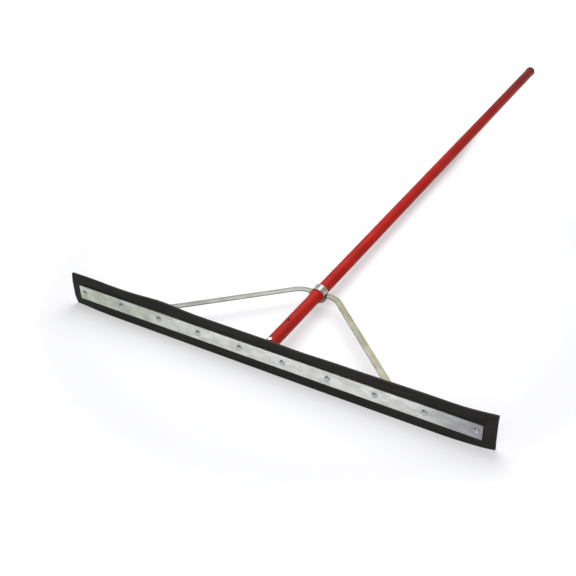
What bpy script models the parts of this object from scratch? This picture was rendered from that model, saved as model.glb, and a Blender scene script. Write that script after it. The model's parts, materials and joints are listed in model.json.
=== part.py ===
"""Floor squeegee: a rubber blade between two steel strips, a two-piece tube handle and a strap brace.

The origin is the middle of the blade's lower edge. X runs along the blade, the bolt heads face -Y,
the handle runs back along +Y, and the floor is at Z = 0. All sizes are in metres.
"""

import math

import bmesh
import bpy
from mathutils import Matrix, Vector

INCH = 0.0254

# Clearances
SEAT = 0.0003
HOLE_CLEARANCE = 0.0003
SLIDE_CLEARANCE = 0.0003

# Rubber blade
BLADE_LENGTH = 36.3 * INCH
BLADE_HEIGHT = 3 * INCH
BLADE_THICKNESS = 0.0048
BLADE_EDGE = 0.0003
STRIP_RISE = 0.0020

# Steel strips on both sides of the blade
STRIP_INSET = 0.02125
STRIP_HEIGHT = 1.25 * INCH
STRIP_THICKNESS = 0.0030
STRIP_CORNER = 0.0020
STRIP_EDGE = 0.0008

# Carriage bolts, washers and nuts along the strips
BOLT_PITCH = 3.75 * INCH
BOLT_MARGIN = 0.0100
BOLT_DIAMETER = 0.1875 * INCH
BOLT_LENGTH = 0.875 * INCH
BOLT_CHAMFER = 0.0007
HEAD_DIAMETER = 0.0119
HEAD_HEIGHT = 0.0029
HEAD_RIM = 0.0005
NECK_LENGTH = 0.0030
WASHER_DIAMETER = 0.0127
WASHER_THICKNESS = 0.0012
NUT_ACROSS_FLATS = 0.0095
NUT_THICKNESS = 0.0034

# Bracket whose spigot carries the socket tube
BRACKET_MARGIN = 0.0150
BRACKET_HEIGHT = 0.0300
BRACKET_THICKNESS = 0.0032
BRACKET_CORNER = 0.0060
SPIGOT_DIAMETER = 0.0216
SPIGOT_WALL = 0.0022
SPIGOT_LENGTH = 0.1250
WELD_LEG = 0.0035
WELD_BITE = 0.0002

# Socket tube with its flared mouth
SOCKET_START = 0.0190
SOCKET_DIAMETER = 1.0 * INCH
SOCKET_END = 0.2300
BELL_LENGTH = 0.0277
FLARE_LENGTH = 0.0150
BELL_WALL = 0.0016
SLIT_WIDTH = 0.0026
SLIT_LENGTH = 0.0240
SLIT_DROP = math.radians(30)

# Hexagon bolt and nut down through the lower end of socket tube and spigot
TUBE_BOLT_PLACE = 0.0295
TUBE_BOLT_DIAMETER = 0.1875 * INCH
TUBE_BOLT_ACROSS_FLATS = 0.0080
TUBE_BOLT_HEAD_HEIGHT = 0.0030
TUBE_BOLT_NUT_THICKNESS = 0.0034
TUBE_BOLT_TAIL = 0.0022

# Spring pin through socket tube and spigot
PIN_PLACE = 0.1005
PIN_DIAMETER = 0.0060
PIN_BORE = 0.0034
PIN_PROUD = 0.0006
PIN_SLOT = 0.0010

# Handle tube, swaged at its lower end to fit inside the socket tube, and its end cap
HANDLE_DIAMETER = 1.0 * INCH
HANDLE_WALL = 0.0012
HANDLE_LENGTH = 1.3000
SWAGE_GAP = 0.0120
CAP_DIAMETER = 0.0268
CAP_RIM = 0.0060
CAP_DOME = 0.0080
CAP_FLAT = 0.0060
PLUG_LENGTH = 0.0200
PLUG_RIB = 0.0007
PLUG_RIB_LENGTH = 0.0030

# Collar over the flared mouth
COLLAR_SETBACK = 0.0090
COLLAR_LENGTH = 0.0190
COLLAR_WALL = 0.0010
COLLAR_RIM = 0.0007
COLLAR_RIM_LENGTH = 0.0026

# Screw that goes up through brace, collar and mouth, and bears on the handle
SCREW_DIAMETER = 0.1875 * INCH
SCREW_ACROSS_FLATS = 0.0080
SCREW_HEAD_HEIGHT = 0.0028

# Brace, one flat strap bent down under the collar, with a leg and a foot on each side
STRAP_WIDTH = 0.0135
STRAP_THICKNESS = 0.0030
STRAP_EDGE = 0.0005
SADDLE_LIP_RADIUS = 0.0038
WING_LENGTH = 0.0003
SHOULDER_RADIUS = 0.0450
LEG_ANGLE = math.radians(42.1)
TWIST_LENGTH = 0.0480
TWIST_GAP = 0.0040
FOOT_RADIUS = 0.0120
FOOT_BOLT = 3.5
FOOT_TAIL = 0.0110

# Fineness of the round shapes
TUBE_STEPS = 32
BOLT_STEPS = 20
HOLE_STEPS = 16
ARC_STEPS = 5
BEND_STEP = math.radians(10)
TWIST_STEPS = 16
MERGE = 0.00001

# Places that follow from the sizes
STRIP_LENGTH = BLADE_LENGTH - 2 * STRIP_INSET
BOLT_PAIRS = math.floor((STRIP_LENGTH / 2 - BOLT_MARGIN) / BOLT_PITCH + 0.5)
BOLT_Z = BLADE_HEIGHT / 2 + STRIP_RISE
COLLAR_PLACE = SOCKET_END - COLLAR_SETBACK
STRIP_INNER = BLADE_THICKNESS / 2 + SEAT
STRIP_OUTER = STRIP_INNER + STRIP_THICKNESS
HEAD_SEAT = -STRIP_OUTER - SEAT
LIFT = Matrix.Rotation(math.radians(90), 4, "X")
BACK = Matrix.Rotation(math.radians(-90), 4, "X")
OVER = Matrix.Rotation(math.radians(180), 4, "X")

# Colours (linear), roughness and metallic values
FINISHES = {
    "rubber": ((0.026, 0.025, 0.023), 0.62, 0.0),
    "zinc": ((0.60, 0.61, 0.62), 0.32, 1.0),
    "zinc_strap": ((0.47, 0.45, 0.37), 0.42, 1.0),
    "bright_steel": ((0.68, 0.68, 0.70), 0.18, 1.0),
    "dark_steel": ((0.06, 0.06, 0.065), 0.45, 1.0),
    "red_paint": ((0.50, 0.028, 0.022), 0.30, 0.0),
    "black_plastic": ((0.020, 0.020, 0.021), 0.50, 0.0),
}


def clear_scene():
    """Removes every object, so that the scene holds this model alone."""
    for obj in list(bpy.data.objects):
        bpy.data.objects.remove(obj)


def new_collection(name):
    collection = bpy.data.collections.new(name)
    bpy.context.scene.collection.children.link(collection)
    return collection


def material(finish):
    """The material of that name, made when it is first asked for."""
    found = bpy.data.materials.get(finish)
    if found:
        return found
    colour, roughness, metallic = FINISHES[finish]
    made = bpy.data.materials.new(finish)
    made.use_nodes = True
    shader = made.node_tree.nodes["Principled BSDF"]
    shader.inputs["Base Color"].default_value = (*colour, 1.0)
    shader.inputs["Roughness"].default_value = roughness
    shader.inputs["Metallic"].default_value = metallic
    made.diffuse_color = (*colour, 1.0)
    return made


def add_object(name, data):
    """An object for a mesh or curve, linked to the scene."""
    obj = bpy.data.objects.new(name, data)
    bpy.context.scene.collection.objects.link(obj)
    return obj


def move_to(collection, obj):
    for old in list(obj.users_collection):
        old.objects.unlink(obj)
    collection.objects.link(obj)


def evaluated_mesh(obj):
    """The object's mesh with its modifiers taken up, in its own axes."""
    bpy.context.view_layer.update()
    graph = bpy.context.evaluated_depsgraph_get()
    return bpy.data.meshes.new_from_object(obj.evaluated_get(graph))


def weld(mesh):
    """Joins the points that lie on each other and turns the faces outwards."""
    work = bmesh.new()
    work.from_mesh(mesh)
    bmesh.ops.remove_doubles(work, verts=work.verts, dist=MERGE)
    bmesh.ops.recalc_face_normals(work, faces=work.faces)
    work.to_mesh(mesh)
    work.free()
    return mesh


def bake(obj):
    """Gives the object its evaluated mesh and drops its modifiers."""
    mesh = evaluated_mesh(obj)
    obj.modifiers.clear()
    obj.data = mesh
    return obj


def smooth(obj, angle=30):
    obj.data.shade_smooth()
    obj.data.set_sharp_from_angle(angle=math.radians(angle))
    return obj


def boolean(obj, other, operation):
    modifier = obj.modifiers.new(operation.title(), "BOOLEAN")
    modifier.operation = operation
    modifier.object = other
    return obj


def bevel(obj, width, segments=2):
    modifier = obj.modifiers.new("Edges", "BEVEL")
    modifier.width = width
    modifier.segments = segments
    modifier.limit_method = "ANGLE"
    modifier.angle_limit = math.radians(40)
    return obj


def turned(name, profile, steps, ring=False):
    """A solid turned about its own Z from (radius, height) points that run down the outer side."""
    edges = [(i, i + 1) for i in range(len(profile) - 1)]
    if ring:
        edges.append((len(profile) - 1, 0))
    mesh = bpy.data.meshes.new(name)
    mesh.from_pydata([(radius, 0.0, height) for radius, height in profile], edges, [])
    obj = add_object(name, mesh)
    screw = obj.modifiers.new("Turn", "SCREW")
    screw.axis = "Z"
    screw.steps = steps
    screw.render_steps = steps
    screw.use_merge_vertices = True
    screw.merge_threshold = MERGE
    bake(obj)
    weld(obj.data)
    return smooth(obj)


def prism(name, radius, length, sides, turn=0.0):
    """A straight prism or cylinder along its own Z, with its middle at the origin."""
    work = bmesh.new()
    bmesh.ops.create_cone(
        work,
        cap_ends=True,
        segments=sides,
        radius1=radius,
        radius2=radius,
        depth=length,
        matrix=Matrix.Rotation(turn, 4, "Z"),
    )
    mesh = bpy.data.meshes.new(name)
    work.to_mesh(mesh)
    work.free()
    return add_object(name, mesh)


def block(name, size):
    """A box of the given (x, y, z) size, with its middle at the origin."""
    work = bmesh.new()
    bmesh.ops.create_cube(work, size=1.0, matrix=Matrix.Diagonal((*size, 1.0)))
    mesh = bpy.data.meshes.new(name)
    work.to_mesh(mesh)
    work.free()
    return add_object(name, mesh)


def arc(centre, radius, start, end, steps):
    """Points on an arc in a plane, from angle start to angle end."""
    points = []
    for i in range(steps + 1):
        angle = start + (end - start) * i / steps
        x = centre[0] + radius * math.cos(angle)
        y = centre[1] + radius * math.sin(angle)
        points.append((x, y))
    return points


def rounded_plate(name, width, height, corner, thickness):
    """A flat plate standing in the XZ plane, with round corners and its thickness along Y."""
    inner_x = width / 2 - corner
    inner_y = height / 2 - corner
    outline = []
    for quarter, (side_x, side_y) in enumerate(((1, 1), (-1, 1), (-1, -1), (1, -1))):
        start = quarter * math.pi / 2
        centre = (side_x * inner_x, side_y * inner_y)
        outline += arc(centre, corner, start, start + math.pi / 2, ARC_STEPS)
    curve = bpy.data.curves.new(name, "CURVE")
    curve.dimensions = "2D"
    curve.fill_mode = "BOTH"
    curve.extrude = thickness / 2
    spline = curve.splines.new("POLY")
    spline.points.add(len(outline) - 1)
    for point, (x, y) in zip(spline.points, outline):
        point.co = (x, y, 0.0, 1.0)
    spline.use_cyclic_u = True
    drawn = add_object(name + "_outline", curve)
    mesh = weld(evaluated_mesh(drawn))
    bpy.data.objects.remove(drawn)
    mesh.transform(LIFT)
    return add_object(name, mesh)


def along_back(obj, start):
    """Lays a turned piece on the handle's axis, its own Z pointing back from the given place."""
    obj.matrix_world = Matrix.Translation((0.0, start, BOLT_Z)) @ BACK
    return obj


def bolt_places():
    """The X places of the bolts, from left to right as the heads are seen."""
    first = (0.5 - BOLT_PAIRS) * BOLT_PITCH
    return [first + i * BOLT_PITCH for i in range(2 * BOLT_PAIRS)]


def foot_place():
    """How far from the middle the brace's feet are bolted."""
    return FOOT_BOLT * BOLT_PITCH


def joined(objects, name):
    """One mesh object from several, each with its own place."""
    work = bmesh.new()
    for obj in objects:
        mesh = obj.data.copy()
        mesh.transform(obj.matrix_world)
        work.from_mesh(mesh)
        bpy.data.objects.remove(obj)
    mesh = bpy.data.meshes.new(name)
    work.to_mesh(mesh)
    work.free()
    return add_object(name, mesh)


def hole_row(name, square):
    """A cutter for the row of bolt holes, round or square, running through all the layers."""
    width = BOLT_DIAMETER + 2 * HOLE_CLEARANCE
    depth = 4 * (BLADE_THICKNESS + STRIP_THICKNESS)
    holes = []
    for x in bolt_places():
        if square:
            hole = block(name, (width, depth, width))
            hole.matrix_world = Matrix.Translation((x, 0.0, BOLT_Z))
        else:
            hole = prism(name, width / 2, depth, HOLE_STEPS)
            hole.matrix_world = Matrix.Translation((x, 0.0, BOLT_Z)) @ LIFT
        holes.append(hole)
    return joined(holes, name)


def hex_radius(across_flats):
    return across_flats / 2 / math.cos(math.pi / 6)


def bolt_mesh():
    """A carriage bolt: domed head towards +Z, square neck under it, chamfered end."""
    shank = BOLT_DIAMETER / 2
    rim = HEAD_DIAMETER / 2
    dome = HEAD_HEIGHT - HEAD_RIM
    ball = (rim**2 + dome**2) / (2 * dome)
    top = math.asin(rim / ball)
    centre = HEAD_HEIGHT - ball
    profile = []
    for i in range(ARC_STEPS + 1):
        angle = top * i / ARC_STEPS
        profile.append((ball * math.sin(angle), centre + ball * math.cos(angle)))
    profile += [
        (rim, 0.0),
        (shank, 0.0),
        (shank, -BOLT_LENGTH + BOLT_CHAMFER),
        (shank - BOLT_CHAMFER, -BOLT_LENGTH),
        (0.0, -BOLT_LENGTH),
    ]
    bolt = turned("bolt", profile, BOLT_STEPS)
    bite = HEAD_RIM / 2
    neck = block("neck", (BOLT_DIAMETER, BOLT_DIAMETER, NECK_LENGTH + bite))
    neck.location.z = (bite - NECK_LENGTH) / 2
    boolean(bolt, neck, "UNION")
    bake(bolt)
    smooth(bolt)
    mesh = bolt.data
    bpy.data.objects.remove(neck)
    bpy.data.objects.remove(bolt)
    return mesh


def washer_mesh(hole_radius, outer_radius, thickness):
    """A flat washer round Z, lying on Z = 0."""
    profile = [
        (outer_radius, thickness),
        (outer_radius, 0.0),
        (hole_radius, 0.0),
        (hole_radius, thickness),
    ]
    washer = turned("washer", profile, BOLT_STEPS, ring=True)
    mesh = washer.data
    bpy.data.objects.remove(washer)
    return mesh


def nut_mesh(across_flats, thickness, bore_radius):
    """A hexagon nut round Z, lying on Z = 0."""
    nut = prism("nut", hex_radius(across_flats), thickness, 6)
    nut.data.transform(Matrix.Translation((0.0, 0.0, thickness / 2)))
    bore = prism("bore", bore_radius, 4 * thickness, HOLE_STEPS)
    boolean(nut, bore, "DIFFERENCE")
    mesh = evaluated_mesh(nut)
    bpy.data.objects.remove(bore)
    bpy.data.objects.remove(nut)
    return mesh


def build_blade(holes):
    """The rubber blade, a plain sheet with a row of bolt holes."""
    blade = block("rubber_blade", (BLADE_LENGTH, BLADE_THICKNESS, BLADE_HEIGHT))
    blade.location.z = BLADE_HEIGHT / 2
    bevel(blade, BLADE_EDGE, 1)
    boolean(blade, holes, "DIFFERENCE")
    return blade, "rubber"


def build_strip(name, side, holes):
    """One of the two steel strips: side is -1 for the front and 1 for the back."""
    strip = rounded_plate(name, STRIP_LENGTH, STRIP_HEIGHT, STRIP_CORNER, STRIP_THICKNESS)
    strip.location = (0.0, side * (STRIP_INNER + STRIP_OUTER) / 2, BOLT_Z)
    bevel(strip, STRIP_EDGE)
    boolean(strip, holes, "DIFFERENCE")
    return strip, "zinc"


def build_bracket(holes, tube_holes):
    """The bracket: a plate over the two middle bolts with a tubular spigot welded to it."""
    front = STRIP_OUTER + SEAT
    width = BOLT_PITCH + 2 * BRACKET_MARGIN
    bracket = rounded_plate(
        "socket_bracket", width, BRACKET_HEIGHT, BRACKET_CORNER, BRACKET_THICKNESS
    )
    bracket.location = (0.0, front + BRACKET_THICKNESS / 2, BOLT_Z)
    boolean(bracket, holes, "DIFFERENCE")
    outer = SPIGOT_DIAMETER / 2
    inner = outer - SPIGOT_WALL
    root = BRACKET_THICKNESS / 2
    face = BRACKET_THICKNESS
    profile = [
        (inner, SPIGOT_LENGTH),
        (outer, SPIGOT_LENGTH),
        (outer, face + WELD_LEG),
        (outer + WELD_LEG / 3, face + WELD_LEG / 3),
        (outer + WELD_LEG + 2 * WELD_BITE, face - WELD_BITE),
        (outer + WELD_LEG + 2 * WELD_BITE, root),
        (inner, root),
    ]
    spigot = along_back(turned("spigot", profile, TUBE_STEPS, ring=True), front)
    boolean(bracket, spigot, "UNION")
    boolean(bracket, tube_holes, "DIFFERENCE")
    return bracket, spigot, "zinc"


def build_tube_holes():
    """A cutter for the upright holes of the tube bolt and the spring pin."""
    rows = ((TUBE_BOLT_PLACE, TUBE_BOLT_DIAMETER), (PIN_PLACE, PIN_DIAMETER))
    holes = []
    for place, diameter in rows:
        hole = prism("hole", diameter / 2 + HOLE_CLEARANCE, 3 * SOCKET_DIAMETER, HOLE_STEPS)
        hole.matrix_world = Matrix.Translation((0.0, place, BOLT_Z))
        holes.append(hole)
    return joined(holes, "tube_holes")


def build_screw_hole():
    """A cutter for the lock screw's hole, from below up to the handle's axis."""
    length = saddle_bore() + 2 * STRAP_THICKNESS
    hole = prism("screw_hole", SCREW_DIAMETER / 2 + HOLE_CLEARANCE, length, HOLE_STEPS)
    hole.matrix_world = Matrix.Translation((0.0, COLLAR_PLACE, BOLT_Z - length / 2))
    return hole


def build_socket(tube_holes, screw_hole):
    """The socket tube: plain over the spigot, flared and slit where it takes the handle."""
    outer = SOCKET_DIAMETER / 2
    inner = SPIGOT_DIAMETER / 2 + SLIDE_CLEARANCE
    bell_inner = bell_bore()
    bell_outer = bell_radius()
    length = SOCKET_END - SOCKET_START
    shoulder = length - BELL_LENGTH
    profile = [
        (bell_inner, length),
        (bell_outer, length),
        (bell_outer, shoulder + FLARE_LENGTH / 3),
        (outer, shoulder - 2 * FLARE_LENGTH / 3),
        (outer, 0.0),
        (inner, 0.0),
        (inner, shoulder - FLARE_LENGTH / 3),
        (bell_inner, shoulder),
    ]
    socket = along_back(turned("socket_tube", profile, TUBE_STEPS, ring=True), SOCKET_START)
    boolean(socket, tube_holes, "DIFFERENCE")
    boolean(socket, screw_hole, "DIFFERENCE")
    slits = []
    for angle in (SLIT_DROP, math.pi - SLIT_DROP):
        slit = block("mouth_slit", (bell_outer, 2 * SLIT_LENGTH, SLIT_WIDTH))
        turn = Matrix.Rotation(angle, 4, "Y")
        reach = Matrix.Translation((bell_outer, 0.0, 0.0))
        slit.matrix_world = Matrix.Translation((0.0, SOCKET_END, BOLT_Z)) @ turn @ reach
        boolean(socket, slit, "DIFFERENCE")
        slits.append(slit)
    return socket, slits, "red_paint"


def bell_bore():
    return HANDLE_DIAMETER / 2 + SLIDE_CLEARANCE


def bell_radius():
    return bell_bore() + BELL_WALL


def build_pin():
    """The spring pin: a slotted steel tube that locks the socket tube to the spigot."""
    half = SOCKET_DIAMETER / 2 + PIN_PROUD
    outer = PIN_DIAMETER / 2
    bore = PIN_BORE / 2
    profile = [(bore, half), (outer, half), (outer, -half), (bore, -half)]
    pin = turned("spring_pin", profile, HOLE_STEPS, ring=True)
    pin.location = (0.0, PIN_PLACE, BOLT_Z)
    slot = block("pin_slot", (PIN_SLOT, PIN_DIAMETER, 3 * half))
    slot.location = (0.0, PIN_PLACE + PIN_DIAMETER / 2, BOLT_Z)
    boolean(pin, slot, "DIFFERENCE")
    return pin, slot, "dark_steel"


def handle_start():
    """Where the handle tube's full width begins, just clear of the flared mouth's shoulder."""
    return SOCKET_END - BELL_LENGTH + SEAT


def swage_length():
    """How far the handle's narrowed end reaches into the socket tube, short of the spigot."""
    spigot_end = STRIP_OUTER + SEAT + SPIGOT_LENGTH
    return handle_start() - spigot_end - SWAGE_GAP


def build_handle():
    """The long handle tube, its lower end narrowed behind a cone that seats in the flare."""
    outer = HANDLE_DIAMETER / 2
    narrow = SPIGOT_DIAMETER / 2
    cone = FLARE_LENGTH / 3
    end = -swage_length()
    profile = [
        (outer - HANDLE_WALL, HANDLE_LENGTH),
        (outer, HANDLE_LENGTH),
        (outer, 0.0),
        (narrow, -cone),
        (narrow, end),
        (narrow - HANDLE_WALL, end),
        (narrow - HANDLE_WALL, -cone),
        (outer - HANDLE_WALL, 0.0),
    ]
    handle = turned("handle_tube", profile, TUBE_STEPS, ring=True)
    return along_back(handle, handle_start()), "red_paint"


def build_cap():
    """The plastic end cap: a domed head and a ribbed plug inside the tube."""
    plug = HANDLE_DIAMETER / 2 - HANDLE_WALL - SLIDE_CLEARANCE
    core = plug - PLUG_RIB
    rim = CAP_DIAMETER / 2
    profile = [(0.0, CAP_RIM + CAP_DOME)]
    for i in range(ARC_STEPS + 1):
        angle = math.pi / 2 * (1 - i / ARC_STEPS)
        radius = CAP_FLAT + (rim - CAP_FLAT) * math.cos(angle)
        profile.append((radius, CAP_RIM + CAP_DOME * math.sin(angle)))
    profile += [(rim, 0.0), (core, 0.0)]
    for i in range(2):
        low = -PLUG_LENGTH / 2 * (i + 1)
        high = low + PLUG_RIB_LENGTH
        profile += [(core, high + PLUG_RIB), (plug, high), (plug, low)]
        if i == 0:
            profile.append((core, low - PLUG_RIB))
    profile.append((0.0, -PLUG_LENGTH))
    cap = turned("handle_end_cap", profile, TUBE_STEPS)
    return along_back(cap, handle_start() + HANDLE_LENGTH + SEAT), "black_plastic"


def collar_bore():
    return bell_radius() + SEAT


def collar_body():
    return collar_bore() + COLLAR_WALL


def collar_outside():
    return collar_body() + COLLAR_RIM


def saddle_bore():
    """The radius of the inside of the brace's saddle, just clear of the collar's rims."""
    return collar_outside() + SEAT


def build_collar(screw_hole):
    """The collar: a ring with a raised rim at each end and a hole underneath for the lock screw."""
    bore = collar_bore()
    body = collar_body()
    rim = collar_outside()
    length = COLLAR_LENGTH
    edge = COLLAR_RIM_LENGTH
    fall = edge + COLLAR_RIM
    profile = [
        (bore, length),
        (body, length),
        (rim, length - COLLAR_RIM / 2),
        (rim, length - edge),
        (body, length - fall),
        (body, fall),
        (rim, edge),
        (rim, COLLAR_RIM / 2),
        (body, 0.0),
        (bore, 0.0),
    ]
    ring = turned("collar", profile, TUBE_STEPS, ring=True)
    collar = along_back(ring, COLLAR_PLACE - length / 2)
    boolean(collar, screw_hole, "DIFFERENCE")
    return collar, "bright_steel"


def hex_bolt(name, diameter, length, across_flats, head_height):
    """A hexagon bolt: its head below Z = 0 and its shank up to the given length, end chamfered."""
    shank = diameter / 2
    profile = [
        (0.0, length),
        (shank - BOLT_CHAMFER, length),
        (shank, length - BOLT_CHAMFER),
        (shank, -head_height / 2),
        (0.0, -head_height / 2),
    ]
    bolt = turned(name, profile, HOLE_STEPS)
    head = prism(name + "_head", hex_radius(across_flats), head_height, 6)
    head.data.transform(Matrix.Translation((0.0, 0.0, -head_height / 2)))
    boolean(bolt, head, "UNION")
    bake(bolt)
    bpy.data.objects.remove(head)
    return bolt


def build_tube_bolt():
    """The bolt down through the socket tube's lower end, and the nut under it."""
    seat = SOCKET_DIAMETER / 2 + SEAT
    length = 2 * seat + TUBE_BOLT_NUT_THICKNESS + TUBE_BOLT_TAIL
    bolt = hex_bolt(
        "socket_bolt", TUBE_BOLT_DIAMETER, length, TUBE_BOLT_ACROSS_FLATS, TUBE_BOLT_HEAD_HEIGHT
    )
    bolt.matrix_world = Matrix.Translation((0.0, TUBE_BOLT_PLACE, BOLT_Z + seat)) @ OVER
    bore = TUBE_BOLT_DIAMETER / 2 + HOLE_CLEARANCE
    nut = add_object("socket_nut", nut_mesh(TUBE_BOLT_ACROSS_FLATS, TUBE_BOLT_NUT_THICKNESS, bore))
    nut.matrix_world = Matrix.Translation((0.0, TUBE_BOLT_PLACE, BOLT_Z - seat)) @ OVER
    return bolt, nut, "zinc"


def build_lock_screw():
    """The screw under the saddle: its head against the brace, its tip against the handle."""
    head_seat = saddle_bore() + STRAP_THICKNESS + SEAT
    length = head_seat - HANDLE_DIAMETER / 2 - SEAT
    screw = hex_bolt("lock_screw", SCREW_DIAMETER, length, SCREW_ACROSS_FLATS, SCREW_HEAD_HEIGHT)
    screw.location = (0.0, COLLAR_PLACE, BOLT_Z - head_seat)
    return screw, "zinc"


def foot_plane():
    """The Y of the middle of a foot, which lies on the back strip."""
    return STRIP_OUTER + SEAT + STRAP_THICKNESS / 2


def bend(centre, radius, start, end):
    """An arc's points, one for each small step of its angle."""
    steps = max(2, round(abs(end - start) / BEND_STEP))
    return arc(centre, radius, start, end, steps)


def saddle_route():
    """The right half of the saddle in the XZ plane, from under the collar out to the wing."""
    bottom = saddle_bore() + STRAP_THICKNESS / 2
    lip = SADDLE_LIP_RADIUS
    reach = math.sqrt(bottom**2 + 2 * bottom * lip)
    meet = math.atan2(lip, reach)
    under = bend((0.0, 0.0), bottom, -math.pi / 2, -meet)
    over = bend((reach, -lip), lip, math.pi - meet, math.pi / 2)
    route = [(x, COLLAR_PLACE, BOLT_Z + z) for x, z in under + over[1:]]
    return [(Vector(point), Vector((0.0, 1.0, 0.0))) for point in route]


def leg_route(wing):
    """The right leg in plan, from the wing to the foot's end: shoulder, twist and foot bend."""
    foot_y = foot_plane()
    shoulder_cut = SHOULDER_RADIUS * math.tan(LEG_ANGLE / 2)
    foot_cut = FOOT_RADIUS * math.tan(LEG_ANGLE / 2)
    start = wing + WING_LENGTH
    corner = start + shoulder_cut
    foot_corner = corner + (COLLAR_PLACE - foot_y) / math.tan(LEG_ANGLE)
    upright = math.pi / 2
    shoulder = bend(
        (start, COLLAR_PLACE - SHOULDER_RADIUS), SHOULDER_RADIUS, upright, upright - LEG_ANGLE
    )
    foot = bend(
        (foot_corner + foot_cut, foot_y + FOOT_RADIUS), FOOT_RADIUS, -upright - LEG_ANGLE, -upright
    )
    down = Vector((math.cos(LEG_ANGLE), -math.sin(LEG_ANGLE)))
    out = Vector((math.sin(LEG_ANGLE), math.cos(LEG_ANGLE)))
    route = []
    for i, (x, y) in enumerate(shoulder):
        angle = LEG_ANGLE * i / (len(shoulder) - 1)
        side = Vector((math.sin(angle), math.cos(angle), 0.0))
        route.append((Vector((x, y, BOLT_Z)), side))
    twist_end = Vector(foot[0]) - down * TWIST_GAP
    for i in range(TWIST_STEPS + 1):
        share = i / TWIST_STEPS
        point = twist_end - down * TWIST_LENGTH * (1 - share)
        turn = math.pi / 2 * (3 - 2 * share) * share**2
        side = Vector((*(out * math.cos(turn)), math.sin(turn)))
        route.append((Vector((*point, BOLT_Z)), side))
    foot.append((foot_place() + FOOT_TAIL, foot_y))
    route += [(Vector((x, y, BOLT_Z)), Vector((0.0, 0.0, 1.0))) for x, y in foot]
    return route


def build_brace(screw_hole):
    """The brace: one strap swept from foot to foot, drilled under the collar and in both feet."""
    saddle = saddle_route()
    right = saddle + leg_route(saddle[-1][0].x)
    mirror = Vector((-1.0, 1.0, 1.0))
    left = [(point * mirror, side * mirror) for point, side in right[1:]]
    route = left[::-1] + right
    work = bmesh.new()
    last = len(route) - 1
    bmesh.ops.create_grid(work, x_segments=last, y_segments=1, size=1.0)
    for vertex in work.verts:
        point, side = route[round((vertex.co.x + 1) / 2 * last)]
        vertex.co = point + side * (vertex.co.y * STRAP_WIDTH / 2)
    mesh = bpy.data.meshes.new("brace")
    work.to_mesh(mesh)
    work.free()
    brace = add_object("brace", mesh)
    solid = brace.modifiers.new("Thickness", "SOLIDIFY")
    solid.thickness = STRAP_THICKNESS
    solid.offset = 0.0
    solid.use_even_offset = True
    bevel(brace, STRAP_EDGE, 1)
    cutters = []
    for side in (-1, 1):
        hole = prism("foot_hole", BOLT_DIAMETER / 2 + HOLE_CLEARANCE, 8 * STRAP_THICKNESS, HOLE_STEPS)
        hole.matrix_world = Matrix.Translation((side * foot_place(), foot_plane(), BOLT_Z)) @ LIFT
        cutters.append(hole)
    for cutter in cutters + [screw_hole]:
        boolean(brace, cutter, "DIFFERENCE")
    return brace, cutters, "zinc_strap"


def stack_at(x):
    """The Y of the face that the washer at that bolt lies on: strip, bracket or brace foot."""
    if abs(x) < BOLT_PITCH:
        return STRIP_OUTER + SEAT + BRACKET_THICKNESS
    if abs(abs(x) - foot_place()) < BOLT_PITCH / 2:
        return STRIP_OUTER + SEAT + STRAP_THICKNESS
    return STRIP_OUTER


def build_fasteners():
    """The row of bolts, washers and nuts, numbered from the left as the heads are seen."""
    hole_radius = BOLT_DIAMETER / 2 + HOLE_CLEARANCE
    bolts = bolt_mesh()
    washers = washer_mesh(hole_radius, WASHER_DIAMETER / 2, WASHER_THICKNESS)
    nuts = nut_mesh(NUT_ACROSS_FLATS, NUT_THICKNESS, hole_radius)
    made = []
    for number, x in enumerate(bolt_places(), start=1):
        washer_y = stack_at(x) + SEAT
        nut_y = washer_y + WASHER_THICKNESS + SEAT
        rows = (
            ("strip_bolt", bolts, HEAD_SEAT, LIFT),
            ("strip_washer", washers, washer_y, BACK),
            ("strip_nut", nuts, nut_y, BACK),
        )
        for name, mesh, y, turn in rows:
            piece = add_object(f"{name}_{number:02d}", mesh)
            piece.matrix_world = Matrix.Translation((x, y, BOLT_Z)) @ turn
            made.append(piece)
    return made, "zinc"


def main():
    clear_scene()
    parts = new_collection("floor_squeegee")
    cutters = new_collection("cutters")
    round_holes = hole_row("round_holes", square=False)
    square_holes = hole_row("square_holes", square=True)
    tube_holes = build_tube_holes()
    screw_hole = build_screw_hole()
    hidden = [round_holes, square_holes, tube_holes, screw_hole]
    pieces = [build_blade(round_holes)]
    pieces.append(build_strip("front_strip", -1, square_holes))
    pieces.append(build_strip("back_strip", 1, round_holes))
    bracket, spigot, finish = build_bracket(round_holes, tube_holes)
    pieces.append((bracket, finish))
    socket, slits, finish = build_socket(tube_holes, screw_hole)
    pieces.append((socket, finish))
    bolt, nut, finish = build_tube_bolt()
    pieces += [(bolt, finish), (nut, finish)]
    pin, slot, finish = build_pin()
    pieces.append((pin, finish))
    hidden += [spigot, slot] + slits
    pieces.append(build_handle())
    pieces.append(build_cap())
    pieces.append(build_collar(screw_hole))
    pieces.append(build_lock_screw())
    brace, brace_cutters, finish = build_brace(screw_hole)
    pieces.append((brace, finish))
    hidden += brace_cutters
    fasteners, finish = build_fasteners()
    pieces += [(piece, finish) for piece in fasteners]
    for piece, finish in pieces:
        move_to(parts, piece)
        if not piece.data.materials:
            piece.data.materials.append(material(finish))
    for cutter in hidden:
        move_to(cutters, cutter)
        cutter.hide_render = True
        cutter.display_type = "WIRE"


main()
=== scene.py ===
"""The looks of the floor squeegee: rubber, plated steel, paint and plastic on a pale floor."""

from __future__ import annotations

import json
import logging
import math
from contextlib import contextmanager
from dataclasses import dataclass
from enum import Enum
from typing import Iterable, Iterator, Sequence

import bmesh
import bpy
from mathutils import Matrix, Vector


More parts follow.
